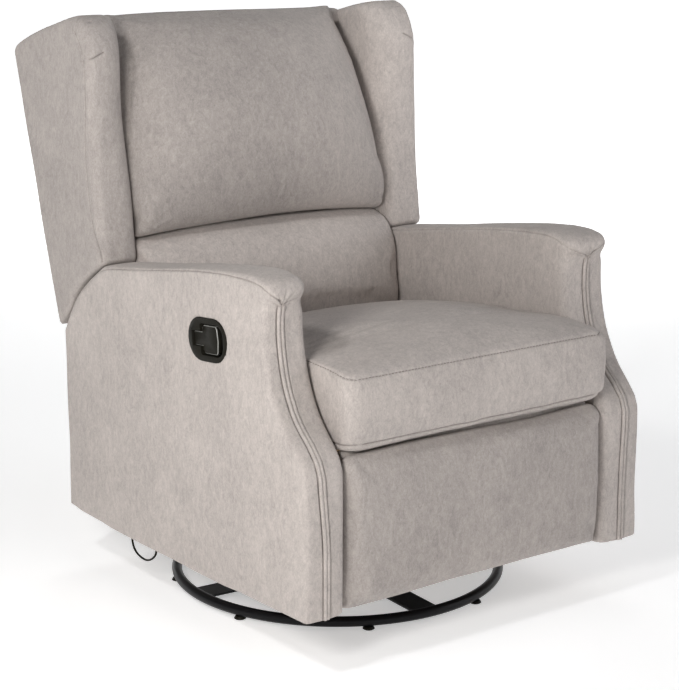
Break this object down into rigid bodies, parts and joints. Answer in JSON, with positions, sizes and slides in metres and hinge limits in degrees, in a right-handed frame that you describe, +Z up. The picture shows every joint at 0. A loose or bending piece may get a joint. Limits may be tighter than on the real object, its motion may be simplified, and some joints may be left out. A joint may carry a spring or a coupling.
{
  "type": "glider recliner chair",
  "caption": "Wing-back upholstered recliner on a round swivel base, with a glider, a folding footrest, a reclining back and a side release handle.",
  "frame": {"origin": "on the floor, under the middle of the whole chair's box", "axes": "+Z up, -Y the way the sitter faces, +X the sitter's left"},
  "size_m": [0.7353, 0.9205, 1.03],
  "materials": {
    "fabric": "brushed suede-like microfibre, warm light grey, matte with a soft mottled nap",
    "black_steel": "black powder coat, satin",
    "zinc_steel": "zinc-plated pressed steel, dull",
    "black_plastic": "black moulded plastic, low gloss",
    "wood": "bare plywood and sawn softwood"
  },
  "bodies": {
    "base": {"base_ring": "black_steel", "base_strap_fore_aft": "black_steel", "base_strap_side": "black_steel", "floor_glide_1": "black_plastic", "floor_glide_2": "black_plastic", "floor_glide_3": "black_plastic", "floor_glide_4": "black_plastic", "floor_glide_5": "black_plastic", "floor_glide_6": "black_plastic", "floor_glide_7": "black_plastic", "floor_glide_8": "black_plastic", "swivel_lower_plate": "zinc_steel", "king_bolt": "zinc_steel"},
    "swivel": {"swivel_upper_plate": "zinc_steel", "glider_crossbar_front": "black_steel", "glider_crossbar_rear": "black_steel", "glider_upright_left": "black_steel", "glider_upright_right": "black_steel"},
    "front_links": {"glider_link_front_left": "zinc_steel", "glider_link_front_right": "zinc_steel"},
    "rear_links": {"glider_link_rear_left": "zinc_steel", "glider_link_rear_right": "zinc_steel"},
    "seat": {"carriage_plate_left": "black_steel", "carriage_plate_right": "black_steel", "carriage_rail_front": "black_steel", "carriage_rail_rear": "black_steel", "mechanism_plate_left": "black_steel", "mechanism_plate_right": "black_steel", "seat_rail_front": "wood", "seat_rail_rear": "wood", "seat_rail_left": "wood", "seat_rail_right": "wood", "seat_spring_1": "zinc_steel", "seat_spring_2": "zinc_steel", "seat_spring_3": "zinc_steel", "seat_cushion": "fabric", "arm_left": "fabric", "arm_right": "fabric", "rear_panel": "fabric", "handle_bezel": "black_plastic", "release_cable": "black_plastic"},
    "back": {"back_bracket_left": "black_steel", "back_bracket_right": "black_steel", "back_board": "wood", "back_cover": "fabric", "wing_left": "fabric", "wing_right": "fabric", "head_cushion": "fabric", "lumbar_cushion": "fabric"},
    "footrest_lower_links": {"footrest_lower_link_left": "zinc_steel", "footrest_lower_link_right": "zinc_steel", "torque_tube": "black_steel"},
    "footrest_upper_links": {"footrest_upper_link_left": "zinc_steel", "footrest_upper_link_right": "zinc_steel"},
    "footrest": {"footrest_bracket_left": "black_steel", "footrest_bracket_right": "black_steel", "footrest_board": "wood", "footrest_pad": "fabric"},
    "paddle": {"release_paddle": "black_plastic"},
    "latch": {"latch_lever": "zinc_steel"}
  },
  "joints": [
    {"name": "swivel", "type": "hinge", "parent": "base", "child": "swivel", "pos_m": [0, -0.0545, 0.0285], "axis": [0, 0, 1], "continuous": true},
    {"name": "glide", "type": "hinge", "parent": "swivel", "child": "front_links", "pos_m": [0, -0.1295, 0.25], "axis": [1, 0, 0], "range_deg": [-28, 28]},
    {"name": "glide_rear_link", "type": "hinge", "parent": "swivel", "child": "rear_links", "pos_m": [0, 0.0205, 0.25], "axis": [1, 0, 0], "range_deg": [-28, 28]},
    {"name": "glide_carriage", "type": "hinge", "parent": "front_links", "child": "seat", "pos_m": [0, -0.1295, 0.125], "axis": [1, 0, 0], "range_deg": [-28, 28]},
    {"name": "recline", "type": "hinge", "parent": "seat", "child": "back", "pos_m": [0, 0.2634, 0.33], "axis": [-1, 0, 0], "range_deg": [0, 38]},
    {"name": "footrest_extend", "type": "hinge", "parent": "seat", "child": "footrest_lower_links", "pos_m": [0, -0.33, 0.322], "axis": [-1, 0, 0], "range_deg": [0, 80]},
    {"name": "footrest_unfold", "type": "hinge", "parent": "footrest_lower_links", "child": "footrest_upper_links", "pos_m": [0, -0.33, 0.127], "axis": [-1, 0, 0], "range_deg": [-160, 0]},
    {"name": "footrest_tilt", "type": "hinge", "parent": "footrest_upper_links", "child": "footrest", "pos_m": [0, -0.33, 0.322], "axis": [-1, 0, 0], "range_deg": [0, 170]},
    {"name": "paddle_pull", "type": "hinge", "parent": "seat", "child": "paddle", "pos_m": [-0.3625, -0.14914, 0.52019], "axis": [0, -0.0872, -0.9962], "range_deg": [0, 28], "stiffness_Nm_per_rad": 0.6},
    {"name": "latch_release", "type": "hinge", "parent": "seat", "child": "latch", "pos_m": [-0.2485, -0.17, 0.312], "axis": [1, 0, 0], "range_deg": [0, 14]}
  ],
  "couplings": [
    {"joint": "glide_rear_link", "follows": "glide", "ratio": 1},
    {"joint": "glide_carriage", "follows": "glide", "ratio": -1},
    {"joint": "footrest_unfold", "follows": "footrest_extend", "ratio": -2},
    {"joint": "footrest_tilt", "follows": "footrest_extend", "ratio": 2.125},
    {"joint": "latch_release", "follows": "paddle_pull", "ratio": 0.5}
  ]
}
